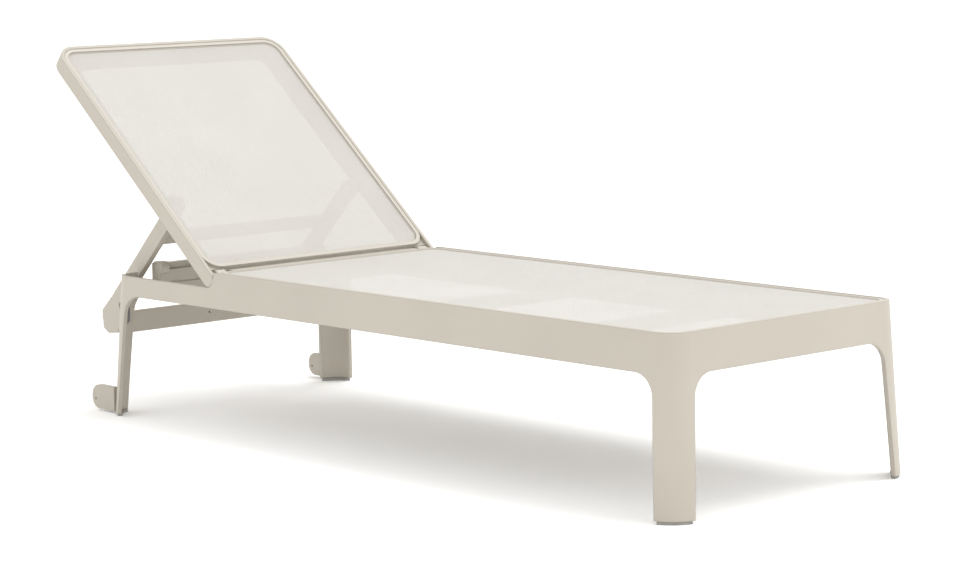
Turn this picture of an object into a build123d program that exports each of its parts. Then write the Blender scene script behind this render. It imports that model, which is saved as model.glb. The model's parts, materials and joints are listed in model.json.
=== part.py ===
from build123d import *
import math
import os

# Stackable sun lounger: moulded frame, sling seat, and a sling backrest held up by a swinging stay.
# Millimetres and degrees. +Z is up, +X points to the foot end, and the sides face -Y and +Y.
# The parts are drawn about the middle of the frame and moved to the middle of the whole lounger at the end.

# Frame
frame_length = 1650.0
frame_width = 620.0
seat_height = 338.0
rail_depth = 75.0
wall = 9.0
corner_radius = 43.0
splay = 23.0            # how far each foot stands outside the top edge
leg_along = 50.0        # leg width on the long side
leg_across = 57.0       # leg width on the short end
leg_arch = 45.0         # inside radius where a rail turns down into a leg
foot_height = 6.0
ledge_width = 32.0
ledge_top = 331.0
ledge_thickness = 5.0

# Backrest
recline_angle = 40.0    # rest position above flat
hinge_x = -497.0
backrest_length = 705.0
backrest_depth = 32.0
backrest_corner = 47.0
backrest_wall = 8.0
back_flange = 44.0
lower_rail_start = 17.0
lower_rail_end = 37.0

# Stay that props the backrest
stay_angle = 45.5       # slope of the arms below horizontal at rest
stay_from_hinge = 234.0
stay_below_front = 33.0
arm_length = 372.0
arm_width = 36.0
arm_outside = 247.0
arm_thickness = 14.0
catch_distance = 240.0  # from the stay pivot to the notch in use
notch_pitch = 36.0
catch_radius = 7.0
catch_gap = 0.8  # clearance between nose and arm, where the linkage is left open

# Fits and fasteners
pin_diameter = 10.0
stay_pin_diameter = 8.0
running_gap = 0.05
bush_wall = 3.0
pad_inset = 3.0
fabric_thickness = 2.0

hinge_z = seat_height - backrest_depth / 2
pivot_x = hinge_x - stay_from_hinge
pivot_z = seat_height - stay_below_front
rail_bottom = seat_height - rail_depth
low_rail_top = seat_height - backrest_depth - 1.5
half_length = frame_length / 2
half_width = frame_width / 2
parts = {}


def spread(z):
    """Outward step of the sloping sides at height z."""
    return splay * (1 - z / seat_height)


def tapered_block(inset, z_low, z_high):
    """Block inside the sloping outer faces, set in by inset all round."""
    grow = 2 * (spread(z_low) - inset)
    corner = corner_radius + spread(z_low) - inset
    section = Pos(0, 0, z_low) * RectangleRounded(frame_length + grow, frame_width + grow, corner)
    return extrude(section, z_high - z_low, taper=math.degrees(math.atan(splay / seat_height)))


def box(x, y, z):
    """Box between the two values given for each axis."""
    size = (x[1] - x[0], y[1] - y[0], z[1] - z[0])
    middle = ((x[0] + x[1]) / 2, (y[0] + y[1]) / 2, (z[0] + z[1]) / 2)
    return Pos(*middle) * Box(*size)


def side_view(sketch, y_low, y_high):
    """Solid whose outline seen from the side is the sketch (X across, Z up)."""
    return Pos(0, y_high, 0) * extrude(Plane.XZ * sketch, y_high - y_low)


def end_view(sketch, x_low, x_high):
    """Solid whose outline seen from the end is the sketch (Y across, Z up)."""
    return Pos(x_low, 0, 0) * extrude(Plane.YZ * sketch, x_high - x_low)


def disc(x, z, radius):
    return Pos(x, z) * Circle(radius)


def outline(points, radius=0.0):
    """Closed outline through the points, with every corner rounded if a radius is given."""
    shape = make_face(Polyline(*points, close=True))
    return fillet(shape.vertices(), radius) if radius else shape


def ring(outer, inner, z_low, z_high):
    """Upright ring between two rounded rectangles given as (x_low, x_high, half width, radius)."""
    bodies = []
    for x_low, x_high, half, radius in (outer, inner):
        sketch = Pos((x_low + x_high) / 2, 0) * RectangleRounded(x_high - x_low, 2 * half, radius)
        bodies.append(Pos(0, 0, z_low) * extrude(sketch, z_high - z_low))
    return bodies[0] - bodies[1]


def arch(half_at_floor, half_at_top):
    """Opening between two legs, with round upper corners."""
    points = [(-half_at_floor, -1), (half_at_floor, -1), (half_at_top, rail_bottom), (-half_at_top, rail_bottom)]
    sketch = outline(points)
    return fillet(sketch.vertices().group_by(Axis.Y)[-1], leg_arch)


def both_sides(solid):
    return solid + mirror(solid, about=Plane.XZ)


def cylinder_y(x, z, radius, y_low, y_high):
    return side_view(disc(x, z, radius), y_low, y_high)


def rest_backrest(solid):
    """Turn a backrest part from flat to its rest position."""
    return Pos(hinge_x, 0, hinge_z) * Rot(0, recline_angle, 0) * Pos(-hinge_x, 0, -hinge_z) * solid


def rest_stay(solid):
    """Move a stay part from folded flat to its rest position."""
    turned = Pos(pivot_x, 0, pivot_z) * Rot(0, -stay_angle - recline_angle, 0) * Pos(-pivot_x, 0, -pivot_z)
    return rest_backrest(turned * solid)


def stay_point(along, across):
    """Rest position (X, Z) of a point of the stay: along the arm from the pivot, across towards its back."""
    tilt = math.radians(recline_angle)
    drop = math.radians(stay_angle)
    dx = pivot_x - hinge_x
    dz = pivot_z - hinge_z
    x = hinge_x + dx * math.cos(tilt) + dz * math.sin(tilt)
    z = hinge_z - dx * math.sin(tilt) + dz * math.cos(tilt)
    x -= along * math.cos(drop) + across * math.sin(drop)
    z -= along * math.sin(drop) - across * math.cos(drop)
    return x, z


# Main frame: one moulding with sloping sides, four corner legs, ledge for the sling and the rear rail.
inner_volume = tapered_block(wall, -1, seat_height + 1)
main_frame = tapered_block(0, 0, seat_height) - inner_volume
side_opening = arch(half_length + spread(0) - leg_along, half_length + spread(rail_bottom) - leg_along)
end_opening = arch(half_width + spread(0) - leg_across, half_width + spread(rail_bottom) - leg_across)
main_frame -= side_view(side_opening, -frame_width, frame_width)
main_frame -= end_view(end_opening, -frame_length, frame_length)
main_frame -= box((-frame_length, frame_length), (-frame_width, frame_width), (-1, foot_height))

seat_rear = hinge_x + 20
ledge_bite = 3.0        # the ledge reaches this close to the outer faces, well into the wall
seat_end = half_length - ledge_bite
ledge_half = half_width - ledge_bite
ledge_outer = (seat_rear, seat_end, ledge_half, corner_radius - ledge_bite)
ledge_inner = (seat_rear + ledge_width, seat_end - ledge_width, ledge_half - ledge_width, 12)
ledge_low = ledge_top - ledge_thickness
main_frame += ring(ledge_outer, ledge_inner, ledge_low, ledge_top)
main_frame += box((seat_rear, seat_rear + 8), (-ledge_half, ledge_half), (290, ledge_top))
main_frame += box((seat_rear + ledge_width - 6, seat_rear + ledge_width), (-ledge_half, ledge_half), (300, ledge_low))

# A lip carries the seat surface back between the hinge blocks, just clear of the turning backrest.
lip_rear = hinge_x - 5
lip_half = half_width - 52
main_frame += box((lip_rear, seat_rear + 4), (-lip_half, lip_half), (ledge_top - 6, ledge_top - 1))
main_frame += box((lip_rear, seat_rear), (-lip_half, lip_half), (ledge_top - 2, seat_height - 1))

rib_thickness = 3.0
rib_low = rail_bottom + 14
rib_count = 9
for number in range(rib_count):
    rib_x = seat_rear + 90 + number * (seat_end - seat_rear - 180) / (rib_count - 1)
    rib_span = (rib_x, rib_x + rib_thickness)
    main_frame += both_sides(box(rib_span, (ledge_half - ledge_width + 6, ledge_half + 1), (rib_low, ledge_low)))
for number in range(4):
    rib_y = (number - 1.5) * 130
    rib_span = (rib_y - rib_thickness / 2, rib_y + rib_thickness / 2)
    main_frame += box((seat_end - ledge_width + 6, seat_end + 1), rib_span, (rib_low, ledge_low))

# Behind the hinge the side rails drop to make room for the flat backrest, and hug its round lower ends.
notch_gap = 1.5
notch_radius = backrest_depth / 2 + notch_gap
rear_drop = Pos((hinge_x - frame_length) / 2, low_rail_top + 50) * Rectangle(frame_length + hinge_x, 100)
notch_mouth = outline(
    [
        (hinge_x - 1, hinge_z),
        (hinge_x + notch_radius, hinge_z),
        (hinge_x + notch_radius + 3, hinge_z + 9),
        (hinge_x + notch_radius + 13, seat_height + 1),
        (hinge_x - 1, seat_height + 1),
    ]
)
main_frame -= side_view(rear_drop, -frame_width, frame_width)
notch_profile = disc(hinge_x, hinge_z, notch_radius) + notch_mouth
main_frame -= both_sides(side_view(notch_profile, half_width - 54, frame_width))

# Rear rail: a low beam that the folded stay arms pass over, and between them a riser with a round lobe
# at each end.
rear_face = -half_length
arm_slot = arm_outside + 6
slot_floor = pivot_z - arm_width / 2 - 5
beam_half = arm_outside - arm_thickness - 4
beam_rear = rear_face + 6
riser_rear = rear_face + 26
main_frame -= box((rear_face - 30, rear_face + 19), (-arm_slot, arm_slot), (rail_bottom - 1, seat_height + 1))
rear_rail = box((beam_rear, rear_face + 57), (-half_width, half_width), (rail_bottom, slot_floor))
parts["rear_rail"] = rear_rail & inner_volume
riser = box((riser_rear, rear_face + 55), (-beam_half, beam_half), (slot_floor, 311))
riser += box((riser_rear, rear_face + 48), (-beam_half, beam_half), (310, 324))
lobe = [
    (riser_rear, 301),
    (rear_face + 63, 301),
    (rear_face + 63, 329),
    (riser_rear, 329),
]
riser += both_sides(side_view(outline(lobe, 13.5), beam_half - 20, beam_half))
parts["rear_rail_riser"] = riser

# Catch noses behind the rear rail: each faces a notch in the front edge of a stay arm and stops just
# short of it.
catch_x, catch_z = stay_point(catch_distance, -arm_width / 2 - catch_radius - catch_gap)
nose = outline(
    [
        (catch_x, catch_z),
        (beam_rear, catch_z + 3),
        (beam_rear, rail_bottom + 1),
        (catch_x, catch_z - catch_radius),
    ]
)
arm_inside = arm_outside - arm_thickness
nose_profile = nose + disc(catch_x, catch_z, catch_radius)
for side_name, side in (("left", 1), ("right", -1)):
    reach = sorted((side * (arm_inside + 1), side * (arm_outside - 1)))
    parts[f"stay_catch_{side_name}"] = side_view(nose_profile, *reach)

# Hinge blocks sit in the drop behind the seat, screwed to its cross wall.
lug_radius = 17.0
lug_inner = half_width - 42
lug_outer = half_width - 18
bush_outer = pin_diameter / 2 + running_gap + bush_wall
block_profile = disc(hinge_x, hinge_z, lug_radius) + outline(
    [
        (hinge_x - lug_radius + 2, hinge_z),
        (hinge_x - lug_radius + 2, 297),
        (hinge_x - 6, 286),
        (seat_rear, 293),
        (seat_rear, ledge_top - 4),
        (hinge_x + 6, hinge_z + 8),
    ]
)
block_profile -= disc(hinge_x, hinge_z, bush_outer)
for side_name, side in (("left", 1), ("right", -1)):
    reach = sorted((side * lug_inner, side * lug_outer))
    block = side_view(block_profile, *reach)
    screws = []
    for screw_y in (side * (lug_inner + 6), side * (lug_outer - 6)):
        spot = Pos(seat_rear, screw_y, 302) * Rot(0, 90, 0)
        hole = spot * Cylinder(2.6, 40)
        block -= hole
        main_frame -= spot * Pos(0, 0, 4) * Cylinder(2.6, 10)
        screws.append(spot * Pos(0, 0, -3) * Cylinder(2.5, 22) + spot * Pos(0, 0, 10) * Cylinder(4.5, 4))
    parts[f"hinge_block_{side_name}"] = block
    parts[f"block_screws_{side_name}"] = Compound(children=screws)

# Heel tabs behind the rear feet, each with an axle hole.
tab_y = half_width - 10
tab_tip = rear_face - 92
tab_plate = outline([(tab_tip, 5), (rear_face - 12, 5), (rear_face - 12, 57), (tab_tip, 57)])
tab_profile = fillet(tab_plate.vertices().group_by(Axis.X)[0], 24) - disc(tab_tip + 12, 26, 2.5)
main_frame += both_sides(side_view(tab_profile, tab_y, tab_y + 12))

# Two braces under the seat keep the side rails apart.
brace_width = 42.0
brace_low = rail_bottom + 4
brace_high = brace_low + 22
brace_block = 288.0
screw_radius = 2.5
screw_z = (brace_low + brace_high) / 2
screw_heads = []
for number, brace_x in enumerate((-40.0, 400.0)):
    span = (brace_x - brace_width / 2, brace_x + brace_width / 2)
    brace = box(span, (-half_width, half_width), (brace_low, brace_high))
    hollow_span = (span[0] + 4, span[1] - 4)
    brace -= box(hollow_span, (-brace_block, brace_block), (brace_low - 1, brace_high - 4))
    brace &= inner_volume
    for side in (-1, 1):
        for offset in (-10, 10):
            reach = sorted((side * (brace_block - 1), side * 308))
            hole = cylinder_y(brace_x + offset, screw_z - 2, screw_radius + 0.1, *reach)
            brace -= hole
            main_frame -= hole
            shank_reach = sorted((side * brace_block, side * 307))
            head_reach = sorted((side * (brace_block - 4), side * brace_block))
            shank = cylinder_y(brace_x + offset, screw_z - 2, screw_radius, *shank_reach)
            head = cylinder_y(brace_x + offset, screw_z - 2, 5, *head_reach)
            screw_heads.append(shank + head)
    parts[f"seat_brace_{number + 1}"] = brace
parts["brace_screws"] = Compound(children=screw_heads)
parts["main_frame"] = main_frame

# Rubber feet follow the L of each leg, and a stacking pad sits in the inner corner above each one.
foot_ring = tapered_block(pad_inset, 0, foot_height) - tapered_block(wall + 4, -1, foot_height + 1)
foot_ring -= box(
    (-half_length - splay + leg_along - pad_inset, half_length + splay - leg_along + pad_inset),
    (-frame_width, frame_width),
    (-1, foot_height + 1),
)
foot_sides = half_width + splay - leg_across + pad_inset
foot_ring -= box((-frame_length, frame_length), (-foot_sides, foot_sides), (-1, foot_height + 1))
pad_core = tapered_block(wall, 200, 232)
pad_reach = 26.0
for end_name, end in (("front", 1), ("rear", -1)):
    for side_name, side in (("left", 1), ("right", -1)):
        quarter_x = sorted((0, end * frame_length))
        quarter_y = sorted((0, side * frame_width))
        parts[f"foot_{end_name}_{side_name}"] = foot_ring & box(quarter_x, quarter_y, (-1, foot_height + 1))
        corner_x = half_length + spread(232) - wall - pad_reach
        corner_y = half_width + spread(232) - wall - pad_reach
        block_x = sorted((end * corner_x, end * frame_length))
        block_y = sorted((side * corner_y, side * frame_width))
        pad = pad_core & box(block_x, block_y, (200, 232))
        trim_x = sorted((end * (corner_x - 1), end * (corner_x + pad_reach - 12)))
        trim_y = sorted((side * (corner_y - 1), side * (corner_y + pad_reach - 12)))
        parts[f"stacking_pad_{end_name}_{side_name}"] = pad - box(trim_x, trim_y, (199, 233))

# Seat sling in its retaining ring, let into the top of the frame.
retainer_gap = 0.3
retainer_width = 9.0
seat_ring_outer = (seat_rear, half_length - wall - retainer_gap, half_width - wall - retainer_gap, 33)
seat_ring_inner = (
    seat_ring_outer[0] + retainer_width,
    seat_ring_outer[1] - retainer_width,
    seat_ring_outer[2] - retainer_width,
    24,
)
parts["seat_retainer"] = ring(seat_ring_outer, seat_ring_inner, ledge_top, seat_height - 1)
seat_sling_plan = RectangleRounded(
    seat_ring_inner[1] - seat_ring_inner[0] - 2 * retainer_gap, 2 * seat_ring_inner[2] - 2 * retainer_gap, 23
)
seat_middle = (seat_ring_inner[0] + seat_ring_inner[1]) / 2
sling_low = ledge_top + 1.5
parts["seat_sling"] = Pos(seat_middle, 0, sling_low) * extrude(seat_sling_plan, fabric_thickness)

# Backrest, drawn lying flat.
back_end = hinge_x - backrest_length
back_low = seat_height - backrest_depth
open_end = hinge_x + 60
back_outer = ring(
    (back_end, open_end, half_width, backrest_corner),
    (back_end + backrest_wall, open_end + 90, half_width - backrest_wall, backrest_corner - backrest_wall),
    back_low,
    seat_height,
)
rail_ends = disc(hinge_x, hinge_z, backrest_depth / 2) + Pos((back_end + hinge_x) / 2, hinge_z) * Rectangle(
    backrest_length + 1, backrest_depth
)
backrest_frame = back_outer & side_view(rail_ends, -frame_width, frame_width)
inside_half = half_width - backrest_wall
inside_end = back_end + backrest_wall
flange_outer = (inside_end - 0.5, hinge_x - lower_rail_start, inside_half + 0.5, backrest_corner - backrest_wall)
flange_inner = (
    inside_end + back_flange - backrest_wall,
    hinge_x - lower_rail_end,
    half_width - back_flange - backrest_wall,
    20,
)
flange_thickness = 4.0
backrest_frame += ring(flange_outer, flange_inner, back_low, back_low + flange_thickness)
shelf_width = 14.0
shelf_top = seat_height - 8
shelf_inner = (inside_end + shelf_width, hinge_x - lower_rail_end, inside_half - shelf_width, 26)
backrest_frame += ring(flange_outer, shelf_inner, shelf_top - 3, shelf_top)
lower_rail_x = (hinge_x - lower_rail_end, hinge_x - lower_rail_start)
backrest_frame += box(lower_rail_x, (-inside_half - 1, inside_half + 1), (back_low, shelf_top))
back_rib_count = 7
for number in range(back_rib_count):
    rib_x = hinge_x - 110 - number * (backrest_length - 200) / (back_rib_count - 1)
    rib_y = (inside_half - shelf_width, inside_half + 1)
    backrest_frame += both_sides(box((rib_x, rib_x + rib_thickness), rib_y, (back_low + 2, shelf_top - 2)))
boss_inner = half_width - 16
backrest_frame += both_sides(cylinder_y(hinge_x, hinge_z, 13, boss_inner, inside_half + 1))
pin_reach = half_width - 4
backrest_frame -= both_sides(cylinder_y(hinge_x, hinge_z, pin_diameter / 2, boss_inner - 1, pin_reach))

back_ring_outer = (
    inside_end + retainer_gap,
    hinge_x - lower_rail_start - 1,
    inside_half - retainer_gap,
    backrest_corner - backrest_wall - retainer_gap,
)
back_ring_inner = (
    back_ring_outer[0] + retainer_width,
    back_ring_outer[1] - retainer_width,
    back_ring_outer[2] - retainer_width,
    backrest_corner - backrest_wall - retainer_width,
)
backrest_retainer = ring(back_ring_outer, back_ring_inner, shelf_top, seat_height - 1)
back_sling_plan = RectangleRounded(
    back_ring_inner[1] - back_ring_inner[0] - 2 * retainer_gap,
    2 * back_ring_inner[2] - 2 * retainer_gap,
    back_ring_inner[3] - retainer_gap,
)
back_middle = (back_ring_inner[0] + back_ring_inner[1]) / 2
backrest_sling = Pos(back_middle, 0, shelf_top + 2) * extrude(back_sling_plan, fabric_thickness)

# Stay: two arms and two cross bars in one moulding, drawn folded flat with the front edge of the arms down.
arm_half = arm_width / 2


def stay_outline(points, radius=0.0):
    """Outline from points given along the arm and across it."""
    return outline([(pivot_x - along, pivot_z + across) for along, across in points], radius)


arm_body = stay_outline([(0, arm_half), (340, arm_half), (340, -arm_half), (0, -arm_half)])
arm_heel = stay_outline(
    [
        (320, arm_half),
        (arm_length, arm_half + 3),
        (arm_length + 14, arm_half - 10),
        (arm_length + 26, -10),
        (arm_length + 20, -30),
        (arm_length - 6, -51),
        (arm_length - 34, -44),
        (318, -arm_half),
    ],
    5,
)
heel_dent = disc(pivot_x - arm_length - 22, pivot_z + 7, 8)
arm_profile = disc(pivot_x, pivot_z, arm_half) + arm_body + arm_heel - heel_dent
for number in range(3):
    notch_along = catch_distance + number * notch_pitch
    arm_profile -= disc(pivot_x - notch_along, pivot_z - arm_half, catch_radius + 0.4)
arm_profile -= disc(pivot_x, pivot_z, stay_pin_diameter / 2 + running_gap)
stay_frame = both_sides(side_view(arm_profile, arm_inside, arm_outside))
upper_bar = stay_outline([(81, -14), (117, -14), (117, -2), (81, -2)], 3)
lower_bar = stay_outline([(371, -49), (361, -59), (327, -25.5), (337, -15.5)], 3)
stay_frame += side_view(upper_bar + lower_bar, -arm_inside - 1, arm_inside + 1)
stay_frame -= Pos(pivot_x - 349, 0, pivot_z - 37) * Rot(0, -45, 0) * Cylinder(2.5, 40)

for side_name, side in (("left", 1), ("right", -1)):
    reach = sorted((side * (lug_inner - 0.5), side * lug_outer))
    bush = cylinder_y(hinge_x, hinge_z, bush_outer, *reach)
    collar_reach = sorted((side * lug_outer, side * (lug_outer + 1.2)))
    bush += cylinder_y(hinge_x, hinge_z, bush_outer + 3, *collar_reach)
    through = sorted((side * (lug_inner - 2), side * (lug_outer + 2)))
    bush -= cylinder_y(hinge_x, hinge_z, pin_diameter / 2 + running_gap, *through)
    parts[f"hinge_bush_{side_name}"] = bush

    shank_reach = sorted((side * (lug_inner - 6), side * pin_reach))
    head_reach = sorted((side * (lug_inner - 6), side * (lug_inner - 2)))
    pin = cylinder_y(hinge_x, hinge_z, pin_diameter / 2, *shank_reach)
    pin += cylinder_y(hinge_x, hinge_z, 8, *head_reach)
    parts[f"hinge_pin_{side_name}"] = rest_backrest(pin)

    plate_inner = arm_outside + 3
    plate_outer = half_width - back_flange - backrest_wall
    plate = disc(pivot_x, pivot_z, 14) + Pos(pivot_x, pivot_z + 9) * Rectangle(28, 18)
    plate_reach = sorted((side * plate_inner, side * plate_outer))
    bracket = side_view(plate, *plate_reach)
    foot_y = sorted((side * (plate_outer - 1), side * (plate_outer + 26)))
    foot_z = (back_low + flange_thickness, back_low + flange_thickness + 4)
    bracket += box((pivot_x - 14, pivot_x + 14), foot_y, foot_z)
    bracket -= cylinder_y(pivot_x, pivot_z, stay_pin_diameter / 2, *plate_reach)
    screws = []
    for offset in (-8, 8):
        spot = Pos(pivot_x + offset, side * (plate_outer + 14), back_low)
        hole = spot * Pos(0, 0, 5) * Cylinder(screw_radius + 0.1, 12)
        bracket -= hole
        backrest_frame -= hole
        screws.append(
            spot * Pos(0, 0, 4) * Cylinder(screw_radius, 8) + spot * Pos(0, 0, 9.5) * Cylinder(4.5, 3)
        )
    parts[f"stay_bracket_{side_name}"] = rest_backrest(bracket)
    parts[f"bracket_screws_{side_name}"] = Compound(children=[rest_backrest(screw) for screw in screws])

    shank_reach = sorted((side * (arm_inside - 4), side * plate_outer))
    head_reach = sorted((side * (arm_inside - 4), side * (arm_inside - 0.5)))
    stay_pin = cylinder_y(pivot_x, pivot_z, stay_pin_diameter / 2, *shank_reach)
    stay_pin += cylinder_y(pivot_x, pivot_z, 7, *head_reach)
    parts[f"stay_pin_{side_name}"] = rest_backrest(stay_pin)

parts["backrest_frame"] = rest_backrest(backrest_frame)
parts["backrest_retainer"] = rest_backrest(backrest_retainer)
parts["backrest_sling"] = rest_backrest(backrest_sling)
parts["stay_frame"] = rest_stay(stay_frame)

# Bring the origin under the middle of the whole lounger, at floor level.
ends = [parts[name].bounding_box() for name in ("main_frame", "backrest_frame")]
shift = -(ends[0].max.X + ends[1].min.X) / 2
pivot_rest = stay_point(0, 0)
print("origin shift", round(shift, 4))
print("backrest hinge", round(hinge_x + shift, 4), round(hinge_z, 4))
print("stay pivot", round(pivot_rest[0] + shift, 4), round(pivot_rest[1], 4))
os.makedirs("parts", exist_ok=True)
for name, shape in parts.items():
    export_step(Pos(shift, 0, 0) * shape, f"parts/{name}.step")
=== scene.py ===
import json
import math

import bpy
from mathutils import Matrix, Vector


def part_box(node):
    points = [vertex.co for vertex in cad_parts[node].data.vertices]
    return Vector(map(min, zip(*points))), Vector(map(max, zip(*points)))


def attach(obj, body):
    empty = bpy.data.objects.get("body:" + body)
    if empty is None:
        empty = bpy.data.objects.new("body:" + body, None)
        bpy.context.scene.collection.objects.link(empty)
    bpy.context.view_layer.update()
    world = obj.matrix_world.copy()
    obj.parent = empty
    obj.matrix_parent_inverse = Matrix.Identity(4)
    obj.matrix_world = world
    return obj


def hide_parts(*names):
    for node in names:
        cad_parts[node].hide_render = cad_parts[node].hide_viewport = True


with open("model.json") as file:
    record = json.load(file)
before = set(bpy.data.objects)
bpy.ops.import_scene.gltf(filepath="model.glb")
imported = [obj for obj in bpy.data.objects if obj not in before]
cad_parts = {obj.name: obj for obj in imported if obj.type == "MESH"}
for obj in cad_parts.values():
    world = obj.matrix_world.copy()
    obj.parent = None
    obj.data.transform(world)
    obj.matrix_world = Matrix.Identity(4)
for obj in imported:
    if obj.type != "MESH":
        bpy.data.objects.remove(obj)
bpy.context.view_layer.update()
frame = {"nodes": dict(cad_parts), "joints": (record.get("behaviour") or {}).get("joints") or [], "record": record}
NODES = frame["nodes"]
JOINTS = {joint["name"]: joint for joint in frame["joints"]}

# Lounger dimensions the sheets are cut to, in metres.
HINGE = Vector(JOINTS["backrest_recline"]["pos_m"])
RECLINE = math.radians(40.0)
SEAT_CORNER = 0.023
BACK_CORNER = 0.0297
BACK_HALF_WIDTH = 0.2924
BACK_START = 0.0273     # distance of the sheet's ends from the hinge
BACK_END = 0.6874
BACK_ABOVE_HINGE = 0.0112
SEAT_SAG = 0.004
BACK_SAG = 0.003
HEM_RADIUS = 0.0013
HEM_RISE = HEM_RADIUS * 0.4     # height of the cord's centre above the cloth

# Steps of the sheet grids and of each quarter round at a corner.
LENGTH_STEPS = 96
WIDTH_STEPS = 40
CORNER_STEPS = 12
HEM_CORNER_STEPS = 8

# Weave of the sheets: distance between yarns, and the level below which there is a hole.
YARN_PITCH = 0.0022
HOLE_LEVEL = -0.8

# Dust on the lower part of the moulded pieces.
DUST_HEIGHT = 0.12
DUST_AMOUNT = 0.32
DUST_COLOUR = (0.42, 0.37, 0.30, 1)


# Materials

class Paint:
    """Small helper that adds and links the nodes of one material."""

    def __init__(self, name):
        self.material = bpy.data.materials.new(name)
        self.material.use_nodes = True
        self.tree = self.material.node_tree
        self.shader = self.tree.nodes["Principled BSDF"]

    def add(self, kind, **inputs):
        node = self.tree.nodes.new(kind)
        for name, value in inputs.items():
            self.set(node, name.replace("_", " "), value)
        return node

    def set(self, node, name, value):
        if isinstance(value, bpy.types.NodeSocket):
            self.tree.links.new(value, node.inputs[name])
        else:
            node.inputs[name].default_value = value

    def math(self, operation, first, second=0.0):
        node = self.tree.nodes.new("ShaderNodeMath")
        node.operation = operation
        for socket, value in zip(node.inputs, (first, second)):
            if isinstance(value, bpy.types.NodeSocket):
                self.tree.links.new(value, socket)
            else:
                socket.default_value = value
        return node.outputs[0]

    def place(self):
        return self.add("ShaderNodeTexCoord").outputs["Object"]

    def noise(self, scale, detail=3.0, vector=None):
        vector = vector or self.place()
        return self.add("ShaderNodeTexNoise", Vector=vector, Scale=scale, Detail=detail).outputs["Fac"]

    def ramp(self, value, low, high, first, second):
        node = self.tree.nodes.new("ShaderNodeValToRGB")
        self.tree.links.new(value, node.inputs["Fac"])
        node.color_ramp.elements[0].position = low
        node.color_ramp.elements[1].position = high
        node.color_ramp.elements[0].color = (*first, 1)
        node.color_ramp.elements[1].color = (*second, 1)
        return node.outputs["Color"]

    def mix(self, kind, amount, first, second):
        node = self.tree.nodes.new("ShaderNodeMix")
        node.data_type = "RGBA"
        node.blend_type = kind
        colour_inputs = [socket for socket in node.inputs if socket.type == "RGBA"]
        for socket, value in zip((node.inputs[0], *colour_inputs), (amount, first, second)):
            if isinstance(value, bpy.types.NodeSocket):
                self.tree.links.new(value, socket)
            else:
                socket.default_value = value
        return next(socket for socket in node.outputs if socket.type == "RGBA")

    def spread(self, value, low, high):
        node = self.add("ShaderNodeMapRange", Value=value, To_Min=low, To_Max=high)
        return node.outputs["Result"]

    def bump(self, height, distance, strength, normal=None):
        node = self.add("ShaderNodeBump", Height=height, Distance=distance, Strength=strength)
        if normal is not None:
            self.tree.links.new(normal, node.inputs["Normal"])
        return node.outputs["Normal"]


def moulded(name, colour, darker, grain, rough, edge):
    """Moulded resin: softly rounded edges, fine grain, faint flow clouds, and dust low on the legs."""
    paint = Paint(name)
    clouds = paint.ramp(paint.noise(3.5, 4.0), 0.35, 0.7, darker, colour)
    specks = paint.spread(paint.noise(700.0, 2.0), 0.95, 1.03)
    speck_tone = paint.ramp(specks, 0.9, 1.05, (0.9,) * 3, (1.0,) * 3)
    colour_out = paint.mix("MULTIPLY", 0.6, clouds, speck_tone)
    height_above_floor = paint.tree.nodes.new("ShaderNodeSeparateXYZ")
    paint.tree.links.new(paint.place(), height_above_floor.inputs[0])
    dust_low = paint.spread(height_above_floor.outputs["Z"], 1.0, 0.0)
    dust_low.node.inputs["From Max"].default_value = DUST_HEIGHT
    dust = paint.math("MULTIPLY", dust_low, paint.spread(paint.noise(38.0, 5.0), 0.0, DUST_AMOUNT))
    colour_out = paint.mix("MIX", dust, colour_out, DUST_COLOUR)
    paint.set(paint.shader, "Base Color", colour_out)
    paint.set(paint.shader, "Roughness", paint.spread(paint.noise(45.0, 4.0), rough - 0.07, rough + 0.09))
    paint.set(paint.shader, "Specular IOR Level", 0.42)
    bevel = paint.add("ShaderNodeBevel", Radius=edge)
    bevel.samples = 6
    pits = paint.bump(paint.noise(grain, 2.0), 0.0003, 0.35, bevel.outputs["Normal"])
    sink = paint.bump(paint.noise(9.0, 1.0), 0.003, 0.06, pits)
    paint.set(paint.shader, "Normal", sink)
    return paint.material


def rubber(name, colour):
    """Soft rubber with a fine rough surface."""
    paint = Paint(name)
    darker = tuple(part * 0.8 for part in colour)
    tone = paint.ramp(paint.noise(60.0, 4.0), 0.3, 0.75, darker, colour)
    paint.set(paint.shader, "Base Color", tone)
    paint.set(paint.shader, "Roughness", paint.spread(paint.noise(90.0), 0.66, 0.9))
    bevel = paint.add("ShaderNodeBevel", Radius=0.0012)
    grain = paint.bump(paint.noise(900.0, 2.0), 0.0004, 0.5, bevel.outputs["Normal"])
    paint.set(paint.shader, "Normal", grain)
    return paint.material


def steel(name):
    """Plated steel of the screws, pins and brackets."""
    paint = Paint(name)
    brushed = paint.noise(240.0, 3.0)
    tone = paint.ramp(brushed, 0.3, 0.8, (0.42, 0.42, 0.41), (0.60, 0.60, 0.59))
    paint.set(paint.shader, "Base Color", tone)
    paint.set(paint.shader, "Metallic", 1.0)
    paint.set(paint.shader, "Roughness", paint.spread(brushed, 0.28, 0.46))
    paint.set(paint.shader, "Normal", paint.bump(brushed, 0.0002, 0.3))
    return paint.material


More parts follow.
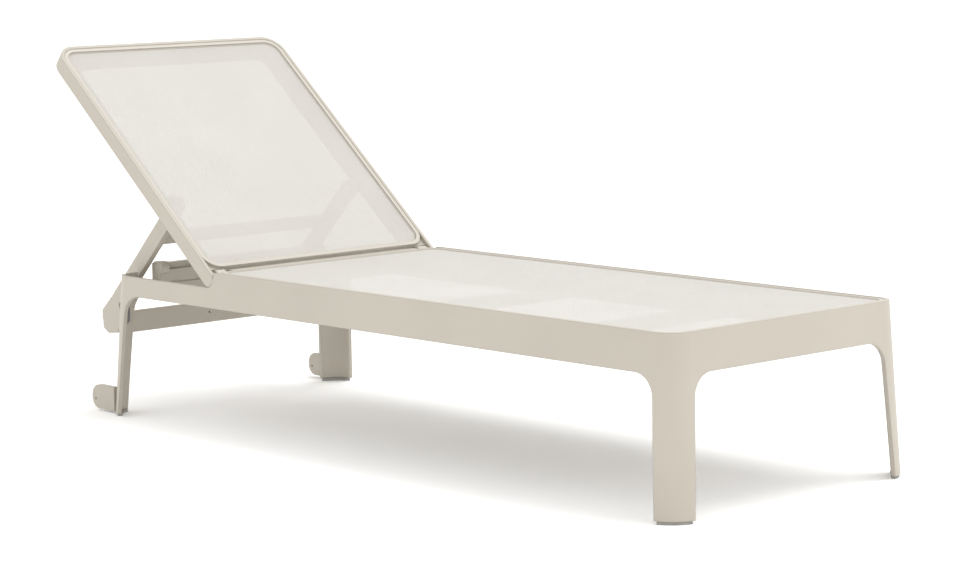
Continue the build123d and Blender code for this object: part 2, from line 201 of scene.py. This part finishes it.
def woven(name):
    """Open plain weave of coated yarn: round yarns over and under each other with small holes between, and painted
    shade in the valleys between the yarns.
    """
    paint = Paint(name)
    uv = paint.add("ShaderNodeUVMap").outputs["UV"]
    split = paint.tree.nodes.new("ShaderNodeSeparateXYZ")
    paint.tree.links.new(uv, split.inputs[0])
    turn = 2 * math.pi / YARN_PITCH
    along = paint.math("SINE", paint.math("MULTIPLY", split.outputs["X"], turn))
    across = paint.math("SINE", paint.math("MULTIPLY", split.outputs["Y"], turn))
    half_along = paint.math("SINE", paint.math("MULTIPLY", split.outputs["X"], turn / 2))
    half_across = paint.math("SINE", paint.math("MULTIPLY", split.outputs["Y"], turn / 2))
    over = paint.math("MULTIPLY", half_along, half_across)
    yarns = paint.math("MAXIMUM", along, across)
    height = paint.math("ADD", yarns, paint.math("MULTIPLY", over, 0.6))
    cloth = paint.ramp(paint.noise(5.0, 3.0, uv), 0.3, 0.75, (0.57, 0.546, 0.51), (0.6, 0.576, 0.54))
    fibre = paint.ramp(paint.noise(1400.0, 2.0, uv), 0.3, 0.8, (0.93, 0.93, 0.93), (1.0, 1.0, 1.0))
    # Painted shade: the cloth colour is darker where the yarns dip, in the valleys between them.
    painted_valley_shade = paint.ramp(paint.spread(yarns, 0.0, 1.0), 0.0, 0.9, (0.86, 0.855, 0.84), (1.0, 1.0, 1.0))
    tone = paint.mix("MULTIPLY", 1.0, paint.mix("MULTIPLY", 0.8, cloth, fibre), painted_valley_shade)
    paint.set(paint.shader, "Base Color", tone)
    paint.set(paint.shader, "Roughness", paint.spread(paint.noise(220.0, 3.0, uv), 0.6, 0.8))
    paint.set(paint.shader, "Sheen Weight", 0.12)
    paint.set(paint.shader, "Sheen Roughness", 0.5)
    paint.set(paint.shader, "Alpha", paint.math("GREATER_THAN", yarns, HOLE_LEVEL))
    paint.set(paint.shader, "Normal", paint.bump(height, 0.0006, 0.55))
    return paint.material


RESIN = moulded("resin", (0.452, 0.416, 0.356), (0.427, 0.391, 0.334), 1100.0, 0.46, 0.003)
TRIM = moulded("resin_trim", (0.49, 0.456, 0.40), (0.465, 0.431, 0.375), 1100.0, 0.42, 0.0015)
BUSH = moulded("bush_plastic", (0.44, 0.41, 0.36), (0.41, 0.38, 0.33), 1300.0, 0.4, 0.001)
FOOT = rubber("foot_rubber", (0.34, 0.33, 0.31))
PAD = rubber("pad_rubber", (0.22, 0.22, 0.215))
STEEL = steel("steel")
MESH = woven("mesh")
FINISH = {
    "resin": RESIN,
    "resin_trim": TRIM,
    "bush_plastic": BUSH,
    "foot_rubber": FOOT,
    "pad_rubber": PAD,
    "steel": STEEL,
}

slot_of = {entry["node"]: entry["material_slot"] for entry in frame["record"]["subparts"]}
for node_name, node in NODES.items():
    if slot_of[node_name] in FINISH:
        node.data.materials.clear()
        node.data.materials.append(FINISH[slot_of[node_name]])


# Sheets

def half_width_at(distance, half_width, corner):
    """Half width of a round-cornered panel at a distance from its nearer end."""
    if distance >= corner:
        return half_width
    return half_width - corner + math.sqrt(corner ** 2 - (corner - distance) ** 2)


def panel(name, length, half_width, corner, sag, place):
    """Stretched cloth on a fine grid with UVs in metres, dipping by sag in the middle."""
    verts, faces, uvs = [], [], []
    stations = [corner * (1 - math.cos(math.pi / 2 * i / CORNER_STEPS)) for i in range(CORNER_STEPS)]
    stations += [corner + (length - 2 * corner) * i / LENGTH_STEPS for i in range(LENGTH_STEPS + 1)]
    stations += [length - value for value in reversed(stations[:CORNER_STEPS])]
    for station in stations:
        reach = half_width_at(min(station, length - station), half_width, corner)
        for row in range(WIDTH_STEPS + 1):
            side = reach * (2 * row / WIDTH_STEPS - 1)
            dip = (1 - (2 * station / length - 1) ** 2) * (1 - (side / half_width) ** 2)
            verts.append(place @ Vector((station, side, -sag * dip)))
            uvs.append((station, side))
    for line in range(len(stations) - 1):
        for row in range(WIDTH_STEPS):
            start = line * (WIDTH_STEPS + 1) + row
            faces.append((start, start + WIDTH_STEPS + 1, start + WIDTH_STEPS + 2, start + 1))
    mesh = bpy.data.meshes.new(name)
    mesh.from_pydata(verts, [], faces)
    layer = mesh.uv_layers.new(name="UVMap")
    for loop in mesh.loops:
        layer.data[loop.index].uv = uvs[loop.vertex_index]
    mesh.shade_smooth()
    mesh.materials.append(MESH)
    sheet = bpy.data.objects.new(name, mesh)
    bpy.context.scene.collection.objects.link(sheet)
    return sheet


def hem(name, length, half_width, corner, place):
    """Round cord sewn into the edge of a panel."""
    points = []
    centres = ((length - corner, 1), (corner, 1), (corner, -1), (length - corner, -1))
    for quarter, (centre, side) in enumerate(centres):
        for step in range(HEM_CORNER_STEPS + 1):
            angle = math.pi / 2 * (quarter + step / HEM_CORNER_STEPS)
            x = centre + (corner - HEM_RADIUS) * math.cos(angle)
            y = side * (half_width - corner) + (corner - HEM_RADIUS) * math.sin(angle)
            points.append(place @ Vector((x, y, HEM_RISE)))
    data = bpy.data.curves.new(name, "CURVE")
    data.dimensions = "3D"
    data.bevel_depth = HEM_RADIUS
    spline = data.splines.new("POLY")
    spline.points.add(len(points) - 1)
    for target, point in zip(spline.points, points):
        target.co = (*point, 1)
    spline.use_cyclic_u = True
    data.materials.append(TRIM)
    cord = bpy.data.objects.new(name, data)
    bpy.context.scene.collection.objects.link(cord)
    return cord


def fitted(name, body, length, half_width, corner, sag, place):
    """One panel with its hem, riding on a body in place of the plain CAD sheet."""
    sheet = panel(name + "_cloth", length, half_width, corner, sag, place)
    edge = hem(name + "_hem", length, half_width, corner, place)
    for piece, slot_name in ((sheet, "mesh"), (edge, "resin_trim")):
        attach(piece, body)
    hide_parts(name)


seat_low, seat_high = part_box("seat_sling")
seat_length = seat_high.x - seat_low.x
on_seat = Matrix.Translation((seat_low.x, 0, seat_high.z))
fitted("seat_sling", "frame", seat_length, seat_high.y, SEAT_CORNER, SEAT_SAG, on_seat)

back_length = BACK_END - BACK_START
flat_back = Matrix.Translation((-BACK_END, 0, BACK_ABOVE_HINGE))
raised = Matrix.Translation(HINGE) @ Matrix.Rotation(RECLINE, 4, "Y") @ flat_back
fitted(
    "backrest_sling", "backrest", back_length, BACK_HALF_WIDTH, BACK_CORNER, BACK_SAG,
    raised,
)


# Stage

FLOOR_HALF = 30
SKY_STRENGTH = 1.26
SUN_STRENGTH = 1.1
SUN_ANGLE = math.radians(34.0)      # wide, so that shadows are soft
SUN_DIRECTION = Vector((-0.15, -0.55, -1.6))
FOOT_SIDE_WATTS = 9

floor_corners = [(x * FLOOR_HALF, y * FLOOR_HALF, 0) for x, y in ((-1, -1), (1, -1), (1, 1), (-1, 1))]
floor_mesh = bpy.data.meshes.new("floor")
floor_mesh.from_pydata(floor_corners, [], [(0, 1, 2, 3)])
floor_paint = Paint("floor")
floor_paint.set(floor_paint.shader, "Base Color", (0.96, 0.957, 0.95, 1))
floor_paint.set(floor_paint.shader, "Roughness", 0.85)
floor_paint.set(floor_paint.shader, "Specular IOR Level", 0.1)
floor_mesh.materials.append(floor_paint.material)
floor = bpy.data.objects.new("floor", floor_mesh)
bpy.context.scene.collection.objects.link(floor)

world = bpy.data.worlds.new("studio")
world.use_nodes = True
background = world.node_tree.nodes["Background"]
background.inputs["Color"].default_value = (1.0, 1.0, 1.0, 1)
background.inputs["Strength"].default_value = SKY_STRENGTH
bpy.context.scene.world = world
bpy.context.scene.view_settings.view_transform = "Standard"


def area_light(name, where, target, size, watts):
    """Rectangular lamp at one place, facing another."""
    data = bpy.data.lights.new(name, "AREA")
    data.shape = "RECTANGLE"
    data.size, data.size_y = size
    data.energy = watts
    light = bpy.data.objects.new(name, data)
    light.location = where
    light.rotation_mode = "QUATERNION"
    light.rotation_quaternion = (Vector(target) - Vector(where)).to_track_quat("-Z", "Y")
    bpy.context.scene.collection.objects.link(light)


sun = bpy.data.lights.new("sky", "SUN")
sun.energy = SUN_STRENGTH
sun.angle = SUN_ANGLE
sun_light = bpy.data.objects.new("sky", sun)
sun_light.rotation_mode = "QUATERNION"
sun_light.rotation_quaternion = SUN_DIRECTION.to_track_quat("-Z", "Y")
bpy.context.scene.collection.objects.link(sun_light)
area_light("foot_side", (4.5, 0.9, 1.6), (0.4, 0, 0.3), (2.0, 2.0), FOOT_SIDE_WATTS)

# Camera at a long lens, turned slightly about its own axis.
CAMERA_AT = Vector((4.38885, -3.96771, 1.08363))
AZIMUTH = 0.825134
ELEVATION = 0.130280
ROLL = -0.012686
LENS = 109.919
SENSOR_WIDTH = 36.0
level = Vector((math.sin(AZIMUTH), -math.cos(AZIMUTH), 0))
back = math.cos(ELEVATION) * level + Vector((0, 0, math.sin(ELEVATION)))
right = Vector((0, 0, 1)).cross(back).normalized()
up = back.cross(right)
rolled_right = math.cos(ROLL) * right + math.sin(ROLL) * up
rolled_up = math.cos(ROLL) * up - math.sin(ROLL) * right
camera_data = bpy.data.cameras.new("camera")
camera_data.sensor_width = SENSOR_WIDTH
camera_data.lens = LENS
camera = bpy.data.objects.new("camera", camera_data)
turned = Matrix((rolled_right, rolled_up, back)).transposed().to_4x4()
camera.matrix_world = Matrix.Translation(CAMERA_AT) @ turned
bpy.context.scene.collection.objects.link(camera)
bpy.context.scene.camera = camera
